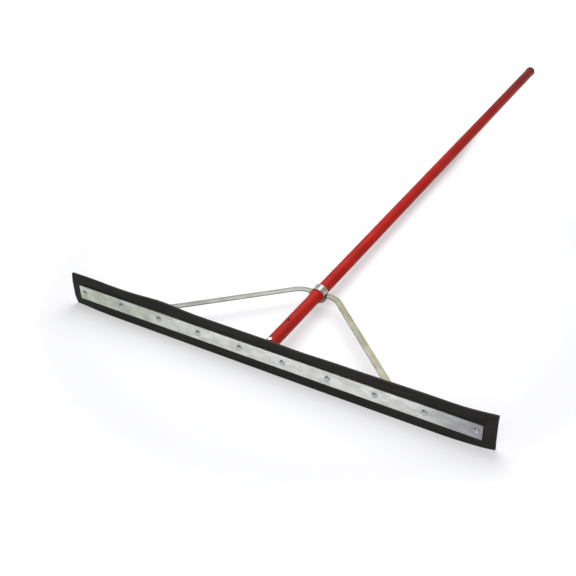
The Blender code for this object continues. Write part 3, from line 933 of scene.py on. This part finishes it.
@dataclass
class SocketTube:
    """The red socket tube with its flared, slit mouth, the bolt and the pin that hold it."""

    tube_radius: float = 0.0127
    inner_radius: float = 0.0111
    soft: float = 0.0003
    bell_inner: float = 0.0130
    bell_length: float = 0.0277
    flare_length: float = 0.0150
    flare_steps: int = 12
    lip: float = 0.0006
    slit_size: Triple = (0.012, 0.0480, 0.0026)
    slit_drop: float = math.radians(30)
    bolt_width: float = 0.0080
    bolt_head: float = 0.0030
    nut_thickness: float = 0.0034
    pin_bore: float = 0.0017
    pin_slot: float = 0.0010
    pin_taper: float = 0.0006

    def build(self) -> None:
        """Models the tube, the bolt with its nut, and the spring pin."""
        low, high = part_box("socket_tube")
        tube = turned(self.rings(high.y - low.y, high.x), TUBE_POINTS, hollow=True)
        settle(tube, back_from(low.y))
        cutters = [
            upright_drill("socket_bolt"),
            upright_drill("spring_pin", PIN_HOLE),
            upright_drill("lock_screw", length=0.03, offset=-0.015),
        ]
        for angle in (self.slit_drop, math.pi - self.slit_drop):
            slit = boxed(self.slit_size, (high.x, 0.0, 0.0))
            cutters.append(settle(slit, upright_at(high.y) @ Matrix.Rotation(angle, 4, "Y")))
        combine(tube, cutters)
        finish_piece(tube, "socket_sleeve", RED_POWDER_COAT, "socket_tube")
        self.build_bolt()
        self.build_pin()

    def rings(self, length: float, bell: float) -> Rings:
        """Radius and height of the tube's rings, up the outside and down the inside.

        Args:
            length: The tube's length.
            bell: The mouth's outer radius.

        Returns:
            The rings, with an eased flare and a rounded lip.
        """
        outer, inner, mouth, lip = self.tube_radius, self.inner_radius, self.bell_inner, self.lip
        shoulder = length - self.bell_length
        start = shoulder - 2 * self.flare_length / 3
        rings = [(outer - self.soft, 0.0), (outer, self.soft)]
        for i in range(self.flare_steps + 1):
            share = i / self.flare_steps
            ease = share * share * (3 - 2 * share)
            rings.append((outer + (bell - outer) * ease, start + self.flare_length * share))
        corner = lip * 0.3
        rings += [(bell, length - lip), (bell - corner, length - corner), (bell - lip, length)]
        rings += [(mouth + self.soft, length), (mouth, length - self.soft), (mouth, shoulder)]
        rings += [(inner, shoulder - self.flare_length / 3), (inner, 0.0)]
        return rings

    def build_bolt(self) -> None:
        """The hexagon bolt down through the tube's lower end, and its nut."""
        low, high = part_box("socket_bolt")
        top = high.z - self.bolt_head
        screw = hex_screw(top - low.z, self.bolt_width, self.bolt_head)
        settle(screw, over("socket_bolt", top) @ DOWNWARDS)
        finish_piece(screw, "tube_bolt", ZINC_PLATED_FASTENER, "socket_bolt")
        nut = hex_nut(self.bolt_width, self.nut_thickness)
        settle(nut, over("socket_bolt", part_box("socket_nut")[0].z))
        finish_piece(nut, "tube_nut", ZINC_PLATED_FASTENER, "socket_nut")

    def build_pin(self) -> None:
        """The slotted spring pin."""
        low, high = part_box("spring_pin")
        outer = (high.x - low.x) / 2
        length = high.z - low.z
        taper = self.pin_taper
        rings = [(outer - taper / 2, 0.0), (outer, taper), (outer, length - taper)]
        rings += [(outer - taper / 2, length), (self.pin_bore, length), (self.pin_bore, 0.0)]
        pin = settle(turned(rings, SMALL_POINTS, hollow=True), over("spring_pin", low.z))
        middle = centre_of("spring_pin")
        middle.y += outer
        combine(pin, [boxed((self.pin_slot, outer * 2, length * 2), middle)])
        finish_piece(pin, "roll_pin", BLACK_OXIDE_STEEL, "spring_pin")


@dataclass
class Handle:
    """The long red handle tube and the plastic cap on its far end."""

    neck_radius: float = 0.0108
    wall: float = 0.0012
    soft: float = 0.0003
    cone_length: float = 0.0050
    tube_length: float = 1.3000
    cap_flat: float = 0.0060
    cap_rim: float = 0.0060
    cap_dome: float = 0.0080
    dome_steps: int = 12
    plug_radius: float = 0.0112
    plug_core: float = 0.0105
    plug_length: float = 0.0200
    plug_taper: float = 0.0008
    plug_ribs: int = 3
    rib_pitch: float = 0.0060
    rib_start: float = 0.0020
    rib_width: float = 0.0020
    rib_slope: float = 0.0007
    cap_soft: float = 0.0005

    def build(self) -> None:
        """Models the tube, swaged to fit into the socket tube, and the cap."""
        low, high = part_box("handle_tube")
        outer, neck, wall = (high.x - low.x) / 2, self.neck_radius, self.wall
        length = high.y - low.y
        swaged = length - self.tube_length
        rings = [(neck - self.soft, 0.0), (neck, self.soft), (neck, swaged - self.cone_length)]
        rings += [(outer, swaged), (outer, length - self.soft), (outer - self.soft, length)]
        rings += [(outer - wall, length), (outer - wall, swaged)]
        rings += [(neck - wall, swaged - self.cone_length), (neck - wall, 0.0)]
        tube = settle(turned(rings, TUBE_POINTS, hollow=True), back_from(low.y))
        finish_piece(tube, "handle_pole", RED_POWDER_COAT, "handle_tube", "handle")
        self.build_cap()

    def build_cap(self) -> None:
        """The end cap: a ribbed plug, a short skirt and a domed end with a flat middle."""
        low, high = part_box("handle_end_cap")
        outer, flat = (high.x - low.x) / 2, self.cap_flat
        core, rib, slope = self.plug_core, self.plug_radius, self.rib_slope
        rings = [(core - self.plug_taper, 0.0), (core, self.plug_taper)]
        for i in range(self.plug_ribs):
            start = self.rib_start + i * self.rib_pitch
            end = start + self.rib_width
            rings += [(core, start), (rib, start + slope), (rib, end), (core, end + slope)]
        top = self.plug_length
        rings += [(core, top), (outer - self.cap_soft, top), (outer, top + self.cap_soft)]
        for i in range(self.dome_steps + 1):
            angle = math.pi / 2 * i / self.dome_steps
            height = top + self.cap_rim + self.cap_dome * math.sin(angle)
            rings.append((flat + (outer - flat) * math.cos(angle), height))
        cap = settle(turned(rings, TUBE_POINTS), back_from(low.y))
        finish_piece(cap, "handle_plug", MOULDED_POLYETHYLENE, "handle_end_cap", "handle")


@dataclass
class Collar:
    """The bright collar round the mouth with its two rolled rims, and the lock screw below it."""

    bore: float = 0.0149
    band: float = 0.0159
    soft: float = 0.0002
    rim_length: float = 0.0026
    rim_steps: int = 8
    screw_width: float = 0.0080
    screw_head: float = 0.0028

    def build(self) -> None:
        """Models the collar and the lock screw."""
        low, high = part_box("collar")
        length = high.y - low.y
        rim = self.rim((high.x - low.x) / 2)
        rings = [(self.bore + self.soft, 0.0)] + rim
        rings += [(radius, length - height) for radius, height in reversed(rim)]
        rings += [(self.bore + self.soft, length), (self.bore, length - self.soft)]
        rings += [(self.bore, self.soft)]
        collar = settle(turned(rings, COLLAR_POINTS, hollow=True), back_from(low.y))
        combine(collar, [upright_drill("lock_screw", length=0.03, offset=-0.015)])
        finish_piece(collar, "mouth_collar", CHROME_PLATE, "collar")
        self.build_screw()

    def rim(self, outer: float) -> Rings:
        """Radius and height of the first rolled rim's rings, from the end face to the band.

        Args:
            outer: The rim's outer radius.

        Returns:
            The rings of half a circle, drawn out to the rim's length.
        """
        half = self.rim_length / 2
        rings = []
        for i in range(self.rim_steps + 1):
            angle = math.pi * (1 - i / self.rim_steps)
            bulge = (outer - self.band) * math.sin(angle)
            rings.append((self.band + bulge, half + half * math.cos(angle)))
        return rings

    def build_screw(self) -> None:
        """The lock screw, its head under the brace and its tip at the handle."""
        low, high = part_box("lock_screw")
        seat = low.z + self.screw_head
        screw = hex_screw(high.z - seat, self.screw_width, self.screw_head)
        settle(screw, over("lock_screw", seat))
        finish_piece(screw, "collar_screw", ZINC_PLATED_FASTENER, "lock_screw", "lock_screw")


@dataclass
class Brace:
    """The strap brace, bent as one bar: foot, twist, leg, shoulder, saddle and back again."""

    width: float = 0.0135
    thickness: float = 0.0030
    edge: float = 0.0006
    lip_radius: float = 0.0038
    wing_length: float = 0.0003
    shoulder_radius: float = 0.0450
    leg_angle: float = math.radians(42.1)
    twist_length: float = 0.0480
    twist_gap: float = 0.0040
    foot_radius: float = 0.0120
    foot_tail: float = 0.0110
    bend_step: float = math.radians(4)
    twist_steps: int = 24

    def build(self) -> None:
        """Bends the strap along its route and drills it."""
        strap = self.bent_strap(self.route())
        holes = [upright_drill("lock_screw", length=0.02, offset=-0.020)]
        for node in ("strip_bolt_02", "strip_bolt_09"):
            holes.append(strip_drill(node, self.foot_plane()))
        close_up(combine(strap, holes))
        finish_piece(strap, "brace_strap", PASSIVATED_ZINC_STRAP, "brace")

    def foot_plane(self) -> float:
        """The Y of the middle of a foot."""
        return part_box("brace")[0].y + self.thickness / 2

    def bent_strap(self, route: Sequence[tuple[Vector, Vector]]) -> Form:
        """Extrudes the strap's flat section along its route, turning it at each step.

        Args:
            route: Points along the strap's middle, each with the way its width points.

        Returns:
            The bent strap with its edges rounded.
        """
        step = 0.001
        strap = boxed((self.width, self.thickness, step), (0.0, 0.0, 0.0))
        with editing(strap):
            bpy.ops.mesh.select_all(action="DESELECT")
            work = bmesh.from_edit_mesh(strap.data)
            for face in work.faces:
                if face.normal.z > 0.5:
                    face.select = True
            work.select_flush(True)
            bmesh.update_edit_mesh(strap.data)
            for _ in range(len(route) - 2):
                bpy.ops.mesh.extrude_region_move(TRANSFORM_OT_translate={"value": (0, 0, step)})
        frames = [self.section_frame(route, i) for i in range(len(route))]
        for vertex in strap.data.vertices:
            i = round((vertex.co.z + step / 2) / step)
            vertex.co = frames[i] @ Vector((vertex.co.x, vertex.co.y, 0.0))
        with editing(strap):
            bpy.ops.mesh.normals_make_consistent(inside=False)
        return round_edges(strap, self.edge)

    def section_frame(self, route: Sequence[tuple[Vector, Vector]], i: int) -> Matrix:
        """The place of the strap's section at one point of its route, widened where it is mitred.

        Args:
            route: Points along the strap's middle, each with the way its width points.
            i: The point's number.

        Returns:
            The section's place.
        """
        point, side = route[i]
        before = route[max(i - 1, 0)][0]
        after = route[min(i + 1, len(route) - 1)][0]
        arriving = (point - before).normalized() if i else (after - point).normalized()
        leaving = (after - point).normalized() if i < len(route) - 1 else arriving
        along = (arriving + leaving).normalized()
        across = (side - along * side.dot(along)).normalized()
        up = along.cross(across)
        miter = 1 / max(0.5, along.dot(arriving))
        if abs((leaving - arriving).dot(up)) > abs((leaving - arriving).dot(across)):
            up = up * miter
        else:
            across = across * miter
        section = Matrix((across, up, along)).transposed().to_4x4()
        section.translation = point
        return section

    def route(self) -> list[tuple[Vector, Vector]]:
        """The strap's whole route, from the left foot's end to the right one's.

        Returns:
            Points along the strap's middle, each with the way its width points.
        """
        saddle = self.saddle_route()
        right = saddle + self.leg_route(saddle[-1][0].x)
        flip = Vector((-1.0, 1.0, 1.0))
        left = [(point * flip, side * flip) for point, side in right[1:]]
        return left[::-1] + right

    def bend(self, centre: Pair, radius: float, start: float, end: float) -> list[Pair]:
        """Points of one bend in its plane, a few degrees apart.

        Args:
            centre: The bend's centre.
            radius: Its radius.
            start: The angle where it starts.
            end: The angle where it ends.

        Returns:
            The points in order.
        """
        steps = max(2, round(abs(end - start) / self.bend_step))
        angles = [start + (end - start) * i / steps for i in range(steps + 1)]
        x, y = centre
        return [(x + radius * math.cos(angle), y + radius * math.sin(angle)) for angle in angles]

    def saddle_route(self) -> list[tuple[Vector, Vector]]:
        """The right half of the saddle, from under the collar out to the wing.

        Returns:
            Points along the strap's middle, each with the way its width points.
        """
        y = centre_of("lock_screw").y
        height = centre_of("handle_tube").z
        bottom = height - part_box("brace")[0].z - self.thickness / 2
        lip = self.lip_radius
        reach = math.sqrt(bottom**2 + 2 * bottom * lip)
        meet = math.atan2(lip, reach)
        under = self.bend((0.0, 0.0), bottom, -math.pi / 2, -meet)
        over = self.bend((reach, -lip), lip, math.pi - meet, math.pi / 2)
        side = Vector((0.0, 1.0, 0.0))
        return [(Vector((x, y, height + z)), side) for x, z in under + over[1:]]

    def leg_route(self, wing: float) -> list[tuple[Vector, Vector]]:
        """The right leg in plan: shoulder, straight, quarter twist, foot bend and foot.

        Args:
            wing: The X where the saddle ends.

        Returns:
            Points along the leg, each with the way the strap's width points.
        """
        hub = centre_of("lock_screw").y
        height = centre_of("handle_tube").z
        foot_y = self.foot_plane()
        upright = math.pi / 2
        turn, curve, foot_curve = self.leg_angle, self.shoulder_radius, self.foot_radius
        start = wing + self.wing_length
        foot_x = start + curve * math.tan(turn / 2) + (hub - foot_y) / math.tan(turn)
        foot_x += foot_curve * math.tan(turn / 2)
        shoulder = self.bend((start, hub - curve), curve, upright, upright - turn)
        foot = self.bend((foot_x, foot_y + foot_curve), foot_curve, -upright - turn, -upright)
        down = Vector((math.cos(turn), -math.sin(turn)))
        out = Vector((math.sin(turn), math.cos(turn)))
        route = []
        for i, (x, y) in enumerate(shoulder):
            angle = turn * i / (len(shoulder) - 1)
            route.append((Vector((x, y, height)), Vector((math.sin(angle), math.cos(angle), 0.0))))
        twist_end = Vector(foot[0]) - down * self.twist_gap
        for i in range(self.twist_steps + 1):
            share = i / self.twist_steps
            point = twist_end - down * self.twist_length * (1 - share)
            angle = math.pi / 2 * (3 - 2 * share) * share**2
            side = Vector((*(out * math.cos(angle)), math.sin(angle)))
            route.append((Vector((*point, height)), side))
        foot.append((centre_of("strip_bolt_09").x + self.foot_tail, foot_y))
        route += [(Vector((x, y, height)), Vector((0.0, 0.0, 1.0))) for x, y in foot]
        return route


@dataclass(frozen=True)
class Lamp:
    """A square soft lamp: its name, place, side and power, and where it points."""

    name: str
    place: Triple
    side: float
    watts: float
    target: Triple = (0.0, 0.2, 0.0)

    def build(self) -> None:
        """Hangs the lamp."""
        data = bpy.data.lights.new(self.name, "AREA")
        data.shape = "SQUARE"
        data.size = self.side
        data.energy = self.watts
        lamp = bpy.data.objects.new(self.name, data)
        bpy.context.scene.collection.objects.link(lamp)
        lamp.location = self.place
        aim = Vector(self.target) - Vector(self.place)
        lamp.rotation_euler = aim.to_track_quat("-Z", "Y").to_euler()
        lamp.visible_camera = False


@dataclass
class Studio:
    """The floor, the lamps, the world and the camera."""

    floor_size: float = 30.0
    floor_colour: str = "#D5D5D7"
    floor_lift: float = 0.36
    floor_tilt: float = math.radians(1.01)
    white_from: float = 0.55
    white_to: float = 0.95
    white_centre: Triple = (-0.03, 0.32, 0.0)
    lamps: tuple[Lamp, ...] = (
        Lamp("overhead_softbox", (-0.14, 0.50, 0.92), 1.0, 10.0),
        Lamp("front_softbox", (0.80, -1.30, 1.60), 1.5, 19.0),
    )
    world_colour: str = "#F6F8FC"
    world_strength: float = 0.20
    front_from: float = -0.15
    front_to: float = -0.75
    mirrored_front: float = 0.25
    mirrored_back: float = 1.0
    camera_place: Triple = (0.79223, -1.16648, 1.17380)
    camera_turn: Triple = (54.98460, 1.91517, 30.63925)
    camera_lens: float = 60.0

    def build(self) -> None:
        """Builds the whole studio."""
        self.add_floor()
        for lamp in self.lamps:
            lamp.build()
        self.add_world()
        self.add_camera()

    def seen_by(self, tree: Tree, rays: Sequence[str]) -> Socket:
        """A factor that is 1 for rays of several kinds.

        Args:
            tree: The node tree that takes the nodes.
            rays: The Light Path node's names of the rays.

        Returns:
            The factor's socket.
        """
        path = add_node(tree, "LightPath").outputs
        factor = path[rays[0]]
        for ray in rays[1:]:
            links = {0: factor, 1: path[ray]}
            factor = add_node(tree, "Math", {"operation": "MAXIMUM"}, None, links).outputs[0]
        return factor

    def add_floor(self) -> None:
        """Lays a pale floor under the blade's edge and the handle's far end.

        It holds the shadows near the object, and fades to plain white further out.
        """
        bpy.ops.mesh.primitive_plane_add(size=self.floor_size, location=(0.0, 0.0, -0.0001))
        floor = bpy.context.object
        floor.name = "studio_floor"
        floor.rotation_euler = (self.floor_tilt, 0.0, 0.0)
        bpy.ops.object.transform_apply()
        material = bpy.data.materials.new("pale_studio_floor")
        material.use_nodes = True
        tree = material.node_tree
        shader = tree.nodes["Principled BSDF"]
        wire(shader, {"Base Color": linear(self.floor_colour), "Roughness": 0.9})
        wire(shader, {"Specular IOR Level": 0.0, "Emission Color": (1.0, 1.0, 1.0, 1.0)})
        place = add_node(tree, "TexCoord").outputs["Object"]
        distance = {"operation": "DISTANCE"}
        away = add_node(tree, "VectorMath", distance, {1: self.white_centre}, {0: place})
        fade = {"From Min": self.white_from, "From Max": self.white_to, "To Min": self.floor_lift}
        lift = add_node(tree, "MapRange", SMOOTHSTEP, fade, {"Value": away.outputs["Value"]})
        seen = self.seen_by(tree, ("Is Camera Ray", "Is Glossy Ray", "Is Transmission Ray"))
        links = {0: lift.outputs["Result"], 1: seen}
        glow = add_node(tree, "Math", {"operation": "MULTIPLY"}, None, links)
        wire(shader, None, {"Emission Strength": glow.outputs[0]})
        floor.data.materials.append(material)

    def add_world(self) -> None:
        """Lights the object with a pale room all round, which is darker in front when mirrored."""
        world = bpy.data.worlds.new("pale_room")
        bpy.context.scene.world = world
        world.use_nodes = True
        tree = world.node_tree
        direction = add_node(tree, "TexCoord").outputs["Generated"]
        back = add_node(tree, "SeparateXYZ", links={0: direction}).outputs["Y"]
        room = {"From Min": self.front_to, "From Max": self.front_from}
        room |= {"To Min": self.mirrored_front, "To Max": self.mirrored_back}
        mirrored = add_node(tree, "MapRange", SMOOTHSTEP, room, {"Value": back}).outputs["Result"]
        links = {"Value": self.seen_by(tree, ["Is Glossy Ray"]), "To Max": mirrored}
        glossy = add_node(tree, "MapRange", None, {"To Min": self.world_strength}, links)
        seen = self.seen_by(tree, ("Is Camera Ray", "Is Transmission Ray"))
        links = {"Value": seen, "To Min": glossy.outputs["Result"]}
        strength = add_node(tree, "MapRange", None, {"To Max": 1.0}, links)
        links = {"Strength": strength.outputs["Result"]}
        wire(tree.nodes["Background"], {"Color": linear(self.world_colour)}, links)

    def add_camera(self) -> None:
        """Sets the camera where the photograph was taken from."""
        data = bpy.data.cameras.new("photo_camera")
        data.lens = self.camera_lens
        data.sensor_width = 36.0
        data.clip_end = 60.0
        camera = bpy.data.objects.new("photo_camera", data)
        bpy.context.scene.collection.objects.link(camera)
        camera.location = self.camera_place
        camera.rotation_euler = tuple(math.radians(angle) for angle in self.camera_turn)
        bpy.context.scene.camera = camera


def main() -> None:
    """Dresses every node, models every sub-assembly and sets up the studio."""
    logging.basicConfig(level=logging.INFO, format="%(name)s: %(message)s")
    bpy.context.scene.view_settings.view_transform = "Standard"
    finishes = {finish.slot: finish for finish in CAD_FINISHES}
    for entry in frame["record"]["subparts"]:
        dress(entry["node"], finishes[Slot(entry["material_slot"])])
    for assembly in (RubberBlade, StripFasteners, SocketBracket, SocketTube, Handle, Collar):
        assembly().build()
    Brace().build()
    Studio().build()


if __name__ == "__main__":
    main()
